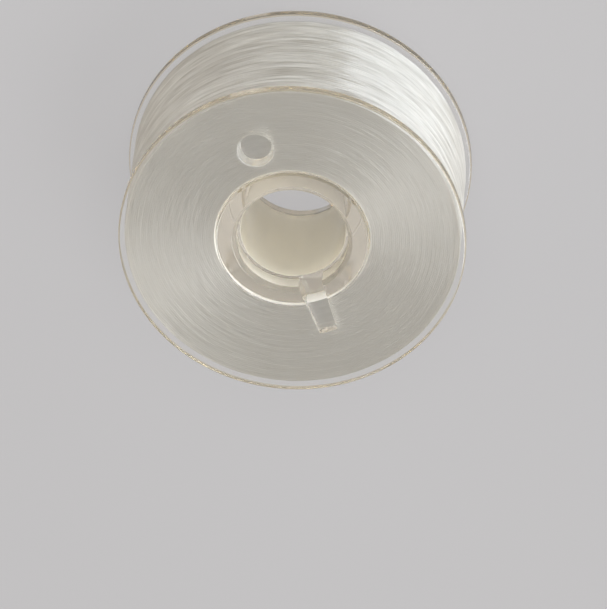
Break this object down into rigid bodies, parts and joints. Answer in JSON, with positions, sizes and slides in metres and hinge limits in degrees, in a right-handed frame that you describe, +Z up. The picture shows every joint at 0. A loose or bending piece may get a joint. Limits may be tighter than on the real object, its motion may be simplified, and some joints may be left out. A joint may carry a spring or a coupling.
{
  "type": "sewing machine bobbin",
  "caption": "Flanged bobbin for a sewing machine: a clear moulded spool with a plain through bore, thread holes and drive slots, wound nearly full of white thread.",
  "frame": {"origin": "centre of the lower flange's outer face, on the axis of the bore, where the bobbin stands", "axes": "+Z up along the bore; the upper end's drive slot opens towards +Y, opposite its thread hole on the -Y side, and the lower end is the same turned over about the X axis"},
  "size_m": [0.0205, 0.0204, 0.0096],
  "materials": {
    "clear_plastic": "clear moulded plastic, polished, faintly amber where it is seen edge on",
    "white_thread": "smooth white filament thread with a satin sheen, laid turn beside turn"
  },
  "bodies": {
    "root": {"bobbin_spool": "clear_plastic", "thread_winding": "white_thread"}
  },
  "joints": []
}
